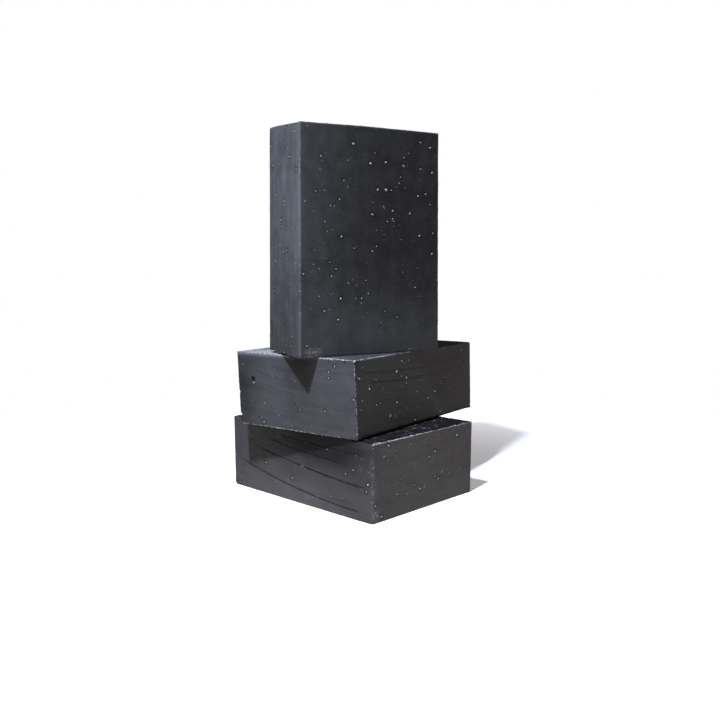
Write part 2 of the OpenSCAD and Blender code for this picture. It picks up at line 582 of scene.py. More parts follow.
@dataclass(frozen=True)
class CharcoalFinish:
    """Matte cut charcoal: dark body, grey ash haze, drag marks, rubbed edges, specks, and painted shade in
    grooves and pores.

    Attributes:
        name: Name of the material.
        soot: Colour of the darkest body.
        stone: Colour of the lighter body.
        ash: Colour of the haze on top.
        rubbed: Colour of rubbed edges and scuffed patches, and of the painted highlights and sheen that share
            their mask.
        hollow_shade: Colour of the painted shade inside grooves, pits, pores and torn sides, and of the
            painted shade patches.
        roughness: Roughness of the clean surface.
        specular: Strength of its reflection.
        streaks: Share of the drag marks in its tone; coarse mottling has the rest.
    """

    name: str
    soot: Colour = (0.0095, 0.009, 0.0086)
    stone: Colour = (0.0195, 0.0184, 0.018)
    ash: Colour = (0.155, 0.158, 0.169)
    rubbed: Colour = (0.24, 0.235, 0.23)
    hollow_shade: Colour = (0.004, 0.0037, 0.0036)
    roughness: float = 0.55
    specular: float = 0.2
    streaks: float = 0.4

    def material(self, groups: ShaderGroups) -> bpy.types.Material:
        """Builds the material.

        Args:
            groups: The shared shader groups.

        Returns:
            The finished material.
        """
        made, tree, shader, where = open_finish(self.name)
        mottle = tree.group(groups.mottle, {"Vector": where, "Coarse": 190.0, "Fine": 1500.0})
        drag = tree.group(groups.drag, {"Course": tree.attribute("course").outputs["Vector"], "Spacing": 0.9})
        pale = tree.group(groups.speckle, {"Vector": where, "Scale": 620.0, "Radius": 0.16, "Share": 0.08})
        pores = tree.group(groups.speckle, {"Vector": where, "Scale": 420.0, "Radius": 0.2, "Share": 0.1})
        worn = tree.group(groups.wear, {"Vector": where, "Amount": tree.attribute("wear").outputs["Fac"],
                                        "Scale": 1300.0}).outputs[0]
        ash = tree.attribute("ash").outputs["Fac"]
        groove = tree.attribute("groove").outputs["Fac"]

        tone = tree.scaled(mottle.outputs["Tone"], 1 - self.streaks,
                           tree.maths("MULTIPLY", drag.outputs["Tone"], self.streaks))
        body = tree.blend(tone, rgba(self.soot), rgba(self.stone))
        hazy = tree.maths("MULTIPLY", ash, tree.scaled(tone, 0.3, 0.85))
        body = tree.blend(hazy, body, rgba(self.ash))
        body = tree.blend(tree.maths("MULTIPLY", pale.outputs[0], 0.3), body, rgba(self.rubbed))
        # Painted shade: grooves, pits, pores and shade patches darken towards the hollow colour.
        dark = tree.maths("MAXIMUM", groove, tree.maths("MULTIPLY", pores.outputs[0], 0.7))
        body = tree.blend(tree.maths("MINIMUM", dark, 0.95), body, rgba(self.hollow_shade))
        # The rubbed colour goes on worn edges and scuffs, and on the painted highlights and sheen that share
        # their mask.
        body = tree.blend(worn, body, rgba(self.rubbed))

        rough = tree.scaled(mottle.outputs["Tone"], 0.18, self.roughness)
        height = tree.scaled(mottle.outputs["Height"], 0.5,
                             tree.maths("MULTIPLY", drag.outputs["Height"], 1.5 * self.streaks))
        height = tree.maths("SUBTRACT", height, tree.maths("MULTIPLY", pores.outputs[0], 0.9))
        height = tree.scaled(pale.outputs[0], 0.4, height)
        close_finish(tree, shader, body, rough, height, strength=0.55, relief=0.12 * MM)
        shader.inputs["Specular IOR Level"].default_value = self.specular
        return made


@dataclass(frozen=True)
class MineralFinish:
    """A matte mineral: a mottled colour with a fine rough surface.

    Attributes:
        name: Name of the material.
        dull: Its darker colour.
        bright: Its lighter colour.
        roughness: Its roughness.
    """

    name: str
    dull: Colour
    bright: Colour
    roughness: float = 0.6

    def material(self, groups: ShaderGroups) -> bpy.types.Material:
        """Builds the material from the shared shader groups."""
        made, tree, shader, where = open_finish(self.name)
        mottle = tree.group(groups.mottle, {"Vector": where, "Coarse": 700.0, "Fine": 4200.0})
        share = tree.scaled(tree.attribute("tone").outputs["Fac"], 0.75,
                            tree.maths("MULTIPLY", mottle.outputs["Tone"], 0.25))
        colour = tree.blend(share, rgba(self.dull), rgba(self.bright))
        rough = tree.scaled(mottle.outputs["Tone"], 0.2, self.roughness)
        close_finish(tree, shader, colour, rough, mottle.outputs["Height"], strength=0.5, relief=0.1 * MM)
        return made


# ---------------------------------------------------------------- geometry nodes for what repeats

CHIP_JITTER = 0.3  # how far a chip's corners move, as a share of its reach
SPECK_FACING = -0.5  # specks keep off faces that look down more steeply than this


class ChipTrees:
    """Geometry node trees that strew angular chips, and the call that makes them a plain mesh."""

    def __init__(self) -> None:
        """Builds both trees once."""
        self.placed = self._placed()
        self.sprinkled = self._sprinkled()

    @staticmethod
    def _named(tree: Tree, name: str, kind: str) -> bpy.types.NodeSocket:
        """Reads an attribute of a given kind by its name."""
        return tree.add("GeometryNodeInputNamedAttribute", {"Name": name}, data_type=kind).outputs[0]

    @staticmethod
    def _store(tree: Tree, points: object, name: str, value: object) -> bpy.types.NodeSocket:
        """Stores one number for each point."""
        inputs = {"Geometry": points, "Name": name, "Value": value}
        return tree.add("GeometryNodeStoreNamedAttribute", inputs, data_type="FLOAT",
                        domain="POINT").outputs[0]

    @staticmethod
    def _strew(tree: Tree, where: dict, spread: object, given: dict, out: object) -> None:
        """Puts a chip on each point, makes each one irregular and gives them their material.

        Args:
            tree: The tree under construction.
            where: The points, and the rotation and scale of the chip on each.
            spread: The reach of each chip, for its irregularity.
            given: The tree's inputs by name.
            out: The node that takes its outputs.
        """
        chip = tree.add("GeometryNodeMeshIcoSphere", {"Radius": 1.0, "Subdivisions": 1}).outputs[0]
        strewn = tree.add("GeometryNodeInstanceOnPoints", {"Instance": chip, **where}).outputs[0]
        real = tree.add("GeometryNodeRealizeInstances", {0: strewn}).outputs[0]
        low, high = (tree.add("ShaderNodeVectorMath", {0: spread, 3: sign * CHIP_JITTER},
                              operation="SCALE").outputs[0] for sign in (-1, 1))
        jitter = tree.add("FunctionNodeRandomValue", {0: low, 1: high, "Seed": given["Seed"]},
                          data_type="FLOAT_VECTOR").outputs[0]
        moved = tree.add("GeometryNodeSetPosition", {"Geometry": real, "Offset": jitter}).outputs[0]
        dressed = tree.add("GeometryNodeSetMaterial", {"Geometry": moved, "Material": given["Finish"]})
        tree.join(dressed.outputs[0], out.inputs["Chips"])

    def _placed(self) -> bpy.types.NodeTree:
        """Chips on given points, each with its own reach and turn attributes."""
        tree, given, out = open_group(
            "placed_chips", "GeometryNodeTree",
            {"Points": "Geometry", "Seed": "Int", "Finish": "Material"}, {"Chips": "Geometry"})
        reach, turn = (self._named(tree, name, "FLOAT_VECTOR") for name in ("reach", "turn"))
        turned = tree.add("FunctionNodeEulerToRotation", {0: turn}).outputs[0]
        where = {"Points": given["Points"], "Rotation": turned, "Scale": reach}
        self._strew(tree, where, reach, given, out)
        return tree.tree

    def _sprinkled(self) -> bpy.types.NodeTree:
        """Specks scattered over a surface, but not under it."""
        tree, given, out = open_group(
            "sprinkled_specks", "GeometryNodeTree",
            {"Surface": "Geometry", "Density": "Float", "Smallest": "Float", "Largest": "Float",
             "Seed": "Int", "Finish": "Material"}, {"Chips": "Geometry"})
        facing = tree.add("ShaderNodeSeparateXYZ", {0: tree.add("GeometryNodeInputNormal").outputs[0]})
        spots = tree.add("GeometryNodeDistributePointsOnFaces",
                         {"Mesh": given["Surface"], "Density": given["Density"], "Seed": given["Seed"],
                          "Selection": tree.maths("GREATER_THAN", facing.outputs["Z"], SPECK_FACING)})
        draw = tree.add("FunctionNodeRandomValue",
                        {2: 0.0, 3: 1.0, "Seed": given["Seed"]}, data_type="FLOAT").outputs[1]
        skewed = tree.maths("POWER", draw, 3.0)
        size = tree.add("ShaderNodeMapRange", {"Value": skewed, "To Min": given["Smallest"],
                                               "To Max": given["Largest"]}).outputs[0]
        store = self._store(tree, spots.outputs["Points"], "reach", size)
        store = self._store(tree, store, "tone", draw)
        reach = self._named(tree, "reach", "FLOAT")
        even = tree.add("ShaderNodeCombineXYZ", {0: reach, 1: reach, 2: reach}).outputs[0]
        where = {"Points": store, "Rotation": spots.outputs["Rotation"], "Scale": size}
        self._strew(tree, where, even, given, out)
        return tree.tree

    @staticmethod
    def apply(piece: bpy.types.Object, group: bpy.types.NodeTree, values: dict) -> None:
        """Runs a tree on a piece and leaves it as a plain mesh.

        Args:
            piece: The object whose mesh the tree starts from.
            group: The tree.
            values: Value for each of the tree's inputs, by name.
        """
        modifier = piece.modifiers.new("chips", "NODES")
        modifier.node_group = group
        sockets = {item.name: item.identifier for item in group.interface.items_tree
                   if item.in_out == "INPUT"}
        for label, value in values.items():
            modifier[sockets[label]] = value
        graph = bpy.context.evaluated_depsgraph_get()
        plain = bpy.data.meshes.new_from_object(piece.evaluated_get(graph))
        piece.modifiers.clear()
        piece.data = plain


# ---------------------------------------------------------------- the bars

CORRECTIONS = 6  # rounds that turn a place in the frame into one in a bar's box
PLAIN_ASH = 0.3  # ash on a side that names none
RADIUS_REACH = 2.5  # how far an edge's radius acts along its neighbours, in mm
WEAR_REACH = 0.42  # how far a rubbed line spreads from its edge, in mm
RIM_REACH = 0.95  # radius of the pit around a crystal, as a share of its grain's edge
RIM_DEPTH = 0.14  # depth of that pit in mm
# The pit around each crystal is darkened with painted shade.
RIM_DARKNESS = 0.8  # how dark that pit is, from 0 to 1
SCAR_ASH = 0.25  # share of the ash that stays in a chip or pit
CRYSTAL_SHARES = (0.4, 0.64)  # half lengths of a crystal, as shares of its grain's edge
SHARD_SHARES = (0.5, 0.9)  # half length of a shard, as a share of its flake's spread
SHARD_HALF = 0.2  # half width of a shard in mm
SPECK_SIZES = (0.08, 0.34)  # half lengths of the specks in mm
CRUMB_SIZES = (0.1, 0.28)  # half lengths of the crumbs in mm
CRUMB_REACH = 0.7  # how far crumbs lie from their edge, in mm
CRUMB_SUNK = 0.08  # how deep they sit, in mm
CRUMB_LOWEST = 0.3  # their least height above the bar's foot, in mm


@dataclass
class Bar:
    """One charcoal bar with its crystals, shards, specks and crumbs.

    Attributes:
        name: The bar's place in the stack, which its nodes and body are named for.
        finish: The finish of its charcoal.
        cells: Step of its grid along X, Y and Z in mm.
        seed: Seed of everything random on it.
        edges: The edges that differ from a plain one.
        lines: Its long drag lines.
        scoops: Its chips and pits.
        scuffs_and_highlights: Its rubbed patches, and painted highlights and sheen.
        ash_and_painted_light: Patches of more or less ash, and patches of painted shadow, shade and light.
        shade_patches: Patches of painted shade, such as the inside of a pit and the contact under an edge.
        rises: Patches that stand higher, in mm.
        ash: Ash on each side, from 0 to 1.
        sweeps: The course of the fine drag marks on each side.
        torn: How deep each side's torn roughness goes, in mm.
        clouds: Strength of the streaky clouding of its ash.
        shine: How bright its crystals are, as a share.
        bow: How far its sides dip between their edges, in mm.
        specks: Specks for each square centimetre.
    """

    name: str
    finish: CharcoalFinish
    cells: Place
    seed: int
    edges: list[Edge] = field(default_factory=list)
    lines: list[DragLine] = field(default_factory=list)
    scoops: list[Scoop] = field(default_factory=list)
    scuffs_and_highlights: list[Patch] = field(default_factory=list)
    ash_and_painted_light: list[Patch] = field(default_factory=list)
    shade_patches: list[Patch] = field(default_factory=list)
    rises: list[Patch] = field(default_factory=list)
    ash: dict[Side, float] = field(default_factory=dict)
    sweeps: dict[Side, Sweep] = field(default_factory=dict)
    torn: dict[Side, float] = field(default_factory=dict)
    clouds: float = 0.25
    shine: float = 1.0
    bow: float = 0.1
    specks: float = 2.5

    def __post_init__(self) -> None:
        """Reads the bar's corners and grains from the frame."""
        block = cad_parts[f"{self.name}_bar"].data
        verts = np.array([vert.co for vert in block.vertices]) / MM
        levels = []
        for height in (verts[:, 2].min(), verts[:, 2].max()):
            level = verts[np.abs(verts[:, 2] - height) < 0.01]
            turns = [(-1, -1), (1, -1), (1, 1), (-1, 1)]
            levels.append([level[np.argmax(level[:, :2] @ np.array(turn))] for turn in turns])
        self.corners = np.array(levels)
        first, second, third, fourth = self.corners.mean(axis=0)
        width = (np.linalg.norm(second - first) + np.linalg.norm(third - fourth)) / 2
        depth = (np.linalg.norm(fourth - first) + np.linalg.norm(third - second)) / 2
        self.size = np.array([width, depth, verts[:, 2].max() - verts[:, 2].min()])
        self.rng = np.random.default_rng(self.seed)
        self.grains = islands(f"{self.name}_grains")
        self.flakes = islands(f"{self.name}_flakes")
        set_edges = {frozenset(edge.sides): edge for edge in self.edges}
        pairs = [pair for pair in combinations(Side, 2) if pair[0].axis != pair[1].axis]
        self.edges = [set_edges.get(frozenset(pair), Edge(pair)) for pair in pairs]

    def to_frame(self, points: np.ndarray) -> np.ndarray:
        """Places in the bar's own box, in mm, turned into places in the frame, in mm."""
        u, v, w = (points / self.size).T[:, :, None]
        low, high = ((1 - v) * ((1 - u) * ring[0] + u * ring[1]) + v * ((1 - u) * ring[3] + u * ring[2])
                     for ring in self.corners)
        return (1 - w) * low + w * high

    def from_frame(self, points: np.ndarray) -> np.ndarray:
        """Places in the frame, in mm, turned into places in the bar's own box, by small corrections."""
        guess = np.tile(self.size / 2, (len(points), 1))
        across = self.corners[:, 1] - self.corners[:, 0]
        turn = math.atan2(across[:, 1].mean(), across[:, 0].mean())
        c, s = math.cos(turn), math.sin(turn)
        spin = np.array([[c, s, 0], [-s, c, 0], [0, 0, 1]])
        for _ in range(CORRECTIONS):
            guess = guess + (points - self.to_frame(guess)) @ spin.T
        return guess

    def _edge_shares(self, points: np.ndarray, edge: Edge, reach: float) -> np.ndarray:
        """How near each point is to an edge, from 0 to 1 on it, with a reach in mm."""
        near = sum(side.depth(points, self.size) ** 2 for side in edge.sides)
        return np.exp(-near / reach**2)

    def _round(self, points: np.ndarray) -> tuple[np.ndarray, np.ndarray]:
        """Rounds the edges.

        Args:
            points: Grid points of the square box in mm.

        Returns:
            The rounded points and the outward direction at each one.
        """
        uneven = 0.6 * lumps(points, 3.1, self.seed) + 0.4 * lumps(points, 0.9, self.seed + 1) - 0.5
        weights = np.full(len(points), 1e-9)
        radii = weights * Edge.radius
        for edge in self.edges:
            share = self._edge_shares(points, edge, RADIUS_REACH)
            weights += share
            radii += share * edge.radius * (1 + 2 * edge.ragged * uneven)
        radius = (radii / weights)[:, None]
        core = np.clip(points, radius, self.size - radius)
        arm = points - core
        outward = arm / np.linalg.norm(arm, axis=1, keepdims=True)
        return core + outward * radius, outward

    def _marks(self, points: np.ndarray) -> dict[str, np.ndarray]:
        """Everything that colours or cuts the surface, at each grid point.

        Args:
            points: Grid points of the square box in mm.

        Returns:
            The cut in mm and the masks by name.
        """
        zone = {side: near_side(points, self.size, side) for side in Side}
        total = sum(zone.values())
        patchy = lumps(points, 24, self.seed + 2)
        ash = sum(zone[side] * self.ash.get(side, PLAIN_ASH) for side in Side) / total
        # The ash patches also hold painted shadow, shade and light, which raise and lower the ash.
        haze = sum(haze.weight(points, self.size) for haze in self.ash_and_painted_light)
        streak = lumps(self._course(points) * np.array([2.4, 0.55, 1.0]), 1.0, self.seed + 3)
        ash *= 1 + self.clouds * (streak + 0.5 * lumps(points, 3.3, self.seed + 9) - 0.75)
        ash = (ash + haze) * (0.82 + 0.36 * patchy)
        broken = lumps(points, 1.3, self.seed + 4)
        wear = sum(edge.wear * self._edge_shares(points, edge, WEAR_REACH) for edge in self.edges)
        wear = wear * (0.35 + 1.1 * ease(broken, 0.3, 0.75))
        # Scuffs add rubbed wear, and some of them are painted highlights and sheen.
        wear += sum(scuff.weight(points, self.size) for scuff in self.scuffs_and_highlights)
        # Painted shade patches start the dark mask that grooves, torn sides and pits add to.
        groove = sum((soot.weight(points, self.size) for soot in self.shade_patches), np.zeros(len(points)))
        cut = self.bow * lumps(points, 38, self.seed + 5) + 0.03 * lumps(points, 7, self.seed + 6)
        cut *= 1 - 0.6 * np.maximum(zone[Side.TOP], zone[Side.BOTTOM])
        for line in self.lines:
            profile = line.profile(points, self.size) * (0.6 + 0.4 * ease(broken, 0.2, 0.6))
            cut += line.depth * profile
            # A groove gets painted shade, darker the deeper it cuts.
            if line.depth > 0:
                groove = np.maximum(groove, profile * min(1.0, line.depth / 0.2))
                # A painted highlight runs along the groove's lower side.
                wear += line.lip_highlight * line.profile(points, self.size, 2 * line.width) * ease(broken, 0.2, 0.7)
        for side, depth in self.torn.items():
            rough = 0.6 * lumps(points, 1.7, self.seed + 7) + 0.4 * lumps(points, 0.7, self.seed + 8)
            cut += depth * zone[side] * rough
            # A torn side is darkened where it is rough: painted shade in its hollows, with its own darker
            # broken charcoal.
            groove = np.maximum(groove, min(1.0, 1.4 * depth) * zone[side] * (0.6 + 0.5 * rough))
            wear += min(0.5, 0.45 * depth) * zone[side] * (1 - ease(rough, 0.28, 0.42))
        # Each crystal sits in a shallow pit that gets painted shade.
        rim = np.zeros(len(points))
        for place, edge in self.grain_places():
            off = np.linalg.norm(points - place, axis=1)
            rim = np.maximum(rim, np.exp(-((off / (edge * RIM_REACH)) ** 2)))
        cut += RIM_DEPTH * rim
        masks = {"ash": ash, "wear": wear, "groove": np.maximum(groove, RIM_DARKNESS * rim)}
        return {"cut": cut, **{name: np.clip(mask, 0, 1) for name, mask in masks.items()}}

    def rise(self, points: np.ndarray) -> np.ndarray:
        """Points of the bar's own box, in mm, lifted where the bar stands higher."""
        lifted = points.copy()
        lifted[:, 2] += sum((rise.weight(points, self.size) for rise in self.rises), np.zeros(len(points)))
        return lifted

    def grain_places(self) -> list[tuple[np.ndarray, float]]:
        """Middle, in the bar's own box, and edge of every grain of the frame, in mm."""
        middles = self.from_frame(np.array([grain.mean(axis=0) for grain in self.grains]) / MM)
        edges = [np.linalg.norm(grain - grain.mean(axis=0), axis=1).mean() / MM for grain in self.grains]
        return [(middle, edge * 2 / math.sqrt(3)) for middle, edge in zip(middles, edges)]

    def _course(self, points: np.ndarray) -> np.ndarray:
        """Drag coordinates: along the marks, across them, and which side, at each grid point."""
        depths = np.stack([side.depth(points, self.size) for side in Side], axis=1)
        nearest = depths.argmin(axis=1)
        course = np.zeros((len(points), 3))
        for number, side in enumerate(Side):
            mine = nearest == number
            across, up = side.spread(points[mine], self.size)
            width, height = side.span(self.size)
            sweep = self.sweeps.get(side, Sweep())
            if sweep.upright:
                across, up, width, height = up, across, height, width
            bent = up * height - sweep.slope * across + sweep.sag * 4 * across * (1 - across)
            course[mine] = np.stack([across * width * 0.03, bent, np.full(mine.sum(), 9.7 * number)], axis=1)
        return course

    def build_block(self, groups: ShaderGroups) -> bpy.types.Object:
        """Builds and dresses the charcoal block itself.

        Args:
            groups: The shared shader groups.

        Returns:
            The block's object.
        """
        coarser = 1.0
        axes = [stations(length, cell * coarser) for length, cell in zip(self.size, self.cells)]
        points, quads = closed_grid(axes)
        marks = self._marks(points)
        rounded, outward = self._round(points)
        shaped = rounded - outward * marks["cut"][:, None]
        scar = np.zeros(len(points), dtype=bool)
        for number, scoop in enumerate(self.scoops):
            shaped, scarred = scoop.press(shaped, self.size, self.seed + 20 + number)
            scar |= scarred
        marks["ash"][scar] *= SCAR_ASH
        shaped = self.rise(shaped)
        piece = new_object(f"{self.name}_block", self.to_frame(shaped) * MM, quads)
        for name in ("ash", "wear", "groove"):
            set_attribute(piece, name, marks[name])
        set_attribute(piece, "course", self._course(points))
        piece.data.shade_smooth()
        piece.data.materials.append(self.finish.material(groups))
        self.block, self.surface, self.outward = piece, shaped, outward
        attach(piece, f"{self.name}_bar")
        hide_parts(f"{self.name}_bar")
        return piece

    def _strew(self, name: str, places: np.ndarray, reach: np.ndarray, turn: np.ndarray, tone: np.ndarray,
               trees: ChipTrees, finish: bpy.types.Material, slot: str) -> bpy.types.Object:
        """Strews chips on given places and lets them ride on the bar.

        Args:
            name: What the chips are, for the piece's name.
            places: Their middles in the bar's own box, in mm.
            reach: Their half lengths along their own axes, in metres.
            turn: Their turns as Euler angles.
            tone: How bright each one is, from 0 to 1.
            trees: The geometry node trees.
            finish: Their material.
            slot: The name of a material slot; not used.

        Returns:
            The piece.
        """
        piece = new_object(f"{self.name}_{name}", self.to_frame(places) * MM)
        set_attribute(piece, "reach", reach)
        set_attribute(piece, "turn", turn)
        set_attribute(piece, "tone", tone)
        trees.apply(piece, trees.placed, {"Seed": self.seed, "Finish": finish})
        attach(piece, f"{self.name}_bar")
        return piece

    def build_crystals(self, trees: ChipTrees, finish: bpy.types.Material) -> bpy.types.Object:
        """Strews one pale crystal where the frame has each grain; the largest are the brightest."""
        middles, edges = (np.array(column) for column in zip(*self.grain_places()))
        middles = self.rise(middles)
        reach = edges[:, None] * MM * self.rng.uniform(*CRYSTAL_SHARES, (len(edges), 3))
        turn = self.rng.uniform(0, math.tau, (len(edges), 3))
        tone = self.shine * ease(edges, 0.5, 1.1) * self.rng.uniform(0.45, 1.0, len(edges))
        piece = self._strew("crystals", middles, reach, turn, tone, trees, finish, "grain")
        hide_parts(f"{self.name}_grains")
        return piece

    def build_shards(self, trees: ChipTrees, finish: bpy.types.Material) -> bpy.types.Object:
        """Strews one thin shard where the frame has each flake, along the flake."""
        middles = self.rise(self.from_frame(np.array([flake.mean(axis=0) for flake in self.flakes]) / MM))
        turns, reach = [], []
        for flake in self.flakes:
            values, axes = np.linalg.eigh(np.cov((flake - flake.mean(axis=0)).T))
            turns.append(Vector(axes[:, 2]).to_track_quat("X", "Z").to_euler())
            half = math.sqrt(values[2])
            reach.append([half * self.rng.uniform(*SHARD_SHARES), SHARD_HALF * MM, SHARD_HALF * MM])
        tone = self.rng.uniform(0.1, 1.0, len(middles))
        piece = self._strew("shards", middles, np.array(reach), np.array(turns), tone, trees, finish, "flake")
        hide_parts(f"{self.name}_flakes")
        return piece

    def build_specks(self, trees: ChipTrees, finish: bpy.types.Material) -> bpy.types.Object:
        """Sprinkles fine specks over the whole block."""
        piece = link(bpy.data.objects.new(f"{self.name}_specks", self.block.data.copy()))
        smallest, largest = SPECK_SIZES
        trees.apply(piece, trees.sprinkled, {"Density": self.specks * 1e4, "Smallest": smallest * MM,
                                             "Largest": largest * MM, "Seed": self.seed, "Finish": finish})
        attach(piece, f"{self.name}_bar")
        return piece

    def build_crumbs(self, trees: ChipTrees, finish: bpy.types.Material) -> bpy.types.Object:
        """Strews crumbs along the edges, more of them on the crumbly ones."""
        chance = np.zeros(len(self.surface))
        count = 0.0
        for edge in self.edges:
            free = next(axis for axis in range(3) if axis not in (edge.sides[0].axis, edge.sides[1].axis))
            share = self._edge_shares(self.surface, edge, CRUMB_REACH)
            here = edge.crumbs * self.size[free] / 10
            chance += here * share / share.sum()
            count += here
        picked = self.rng.choice(len(chance), round(count), p=chance / chance.sum())
        reach = self.rng.uniform(*CRUMB_SIZES, (len(picked), 3)) * MM
        sunk = self.surface[picked] - self.outward[picked] * CRUMB_SUNK
        sunk[:, 2] = np.maximum(sunk[:, 2], CRUMB_LOWEST)
        turn = self.rng.uniform(0, math.tau, (len(picked), 3))
        tone = self.rng.uniform(0.0, 1.0, len(picked)) ** 2
        return self._strew("crumbs", sunk, reach, turn, tone, trees, finish, "charcoal")

    def build(self, groups: ShaderGroups, trees: ChipTrees, finishes: dict) -> None:
        """Builds every piece of the bar and reports each.

        Args:
            groups: The shared shader groups.
            trees: The geometry node trees.
            finishes: The minerals' materials by name.
        """
        made = [self.build_block(groups), self.build_crystals(trees, finishes["crystal"]),
                self.build_shards(trees, finishes["shard"]), self.build_specks(trees, finishes["speck"]),
                self.build_crumbs(trees, finishes["crumb"])]
        for piece in made:
            LOG.info("%s: %d points", piece.name, len(piece.data.vertices))


def lower_bar() -> Bar:
    """The bar at the bottom, which lies flat: long curved grooves in front and a torn top."""
    front, right, left, top, bottom = Side.FRONT, Side.RIGHT, Side.LEFT, Side.TOP, Side.BOTTOM
    return Bar(
        name="lower", seed=11, cells=(0.62, 0.62, 0.25),
        finish=CharcoalFinish("lower_charcoal", ash=(0.168, 0.16, 0.161), rubbed=(0.45, 0.43, 0.41),
                              streaks=0.2),
        edges=[Edge((front, right), radius=1.7, ragged=0.3, wear=0.06, crumbs=4.0),
               Edge((top, right), radius=0.5, ragged=1.0, wear=1.2, crumbs=7.0),
               Edge((front, bottom), radius=0.35, ragged=0.5, wear=0.04, crumbs=0.5),
               Edge((front, left), radius=0.4, ragged=0.5, wear=0.06, crumbs=1.0),
               Edge((front, top), radius=0.5, ragged=0.5, wear=0.3, crumbs=3.0)],
        lines=[DragLine(front, (0.0, 0.44), (1.0, 0.11), sag=2.7, depth=0.3, width=0.24, lip_highlight=0.1),
               DragLine(front, (0.16, 0.66), (0.99, 0.41), sag=1.3, depth=0.3, width=0.23, lip_highlight=0.2),
               DragLine(front, (0.42, 0.535), (0.99, 0.43), sag=0.5, depth=0.2, width=0.17, lip_highlight=0.1),
               DragLine(front, (0.24, 0.81), (0.88, 0.66), sag=0.8, depth=0.26, width=0.2, lip_highlight=0.16),
               DragLine(front, (0.36, 0.88), (0.98, 0.82), sag=0.3, depth=0.2, width=0.18, lip_highlight=0.12),
               DragLine(front, (0.50, 0.19), (0.90, 0.20), sag=0.3, depth=0.06, width=0.2),
               DragLine(right, (0.10, 0.55), (0.32, 0.56), sag=0.2, depth=-0.05, width=0.3)],
        scoops=[Scoop((0.0, 0.0, 0.0), 2.4, 0.7), Scoop((0.05, 0.0, 0.0), 3.0, 0.4),
                Scoop((1.0, 0.0, 1.0), 2.0, 0.5), Scoop((1.0, 0.31, 1.0), 1.6, 0.5),
                Scoop((1.0, 0.52, 1.0), 1.9, 0.6), Scoop((1.0, 0.9, 1.0), 1.5, 0.6)],
        scuffs_and_highlights=[Patch((1.0, 0.04, 0.09), (1, 2.2, 2.2), 0.4), Patch((1.0, 0.0, 0.5), (2.6, 2.6, 17), 0.24),
                Patch((1.0, 0.18, 0.42), (1, 7, 0.9), 0.25), Patch((0.58, 0.0, 0.11), (4, 1, 0.8), 0.3),
                Patch((0.92, 0.0, 0.66), (3, 1, 2), 0.2), Patch((1.0, 0.25, 1.0), (0.6, 17, 0.7), 0.9),
                Patch((1.0, 0.75, 1.0), (0.5, 12, 0.6), 0.6)],
        # The dark patch high on the front's right is the painted shadow of the middle bar.
        ash_and_painted_light=[Patch((0.68, 0.0, 0.86), (25, 3, 8.5), -0.42), Patch((0.35, 0.0, 0.0), (48, 3, 10), 0.27),
               # This faint pale patch at the front's top left is painted light that lifts the shade there.
               Patch((0.1, 0.0, 0.75), (20, 3, 8), 0.08)],
        ash={front: 0.31, right: 0.345, top: 0.05, left: 0.4, Side.BACK: 0.42, bottom: 0.3},
        sweeps={front: Sweep(-6.5, 1.6), Side.BACK: Sweep(5.0, 1.5), right: Sweep(-1.0, 0.4)},
        torn={top: 0.8})


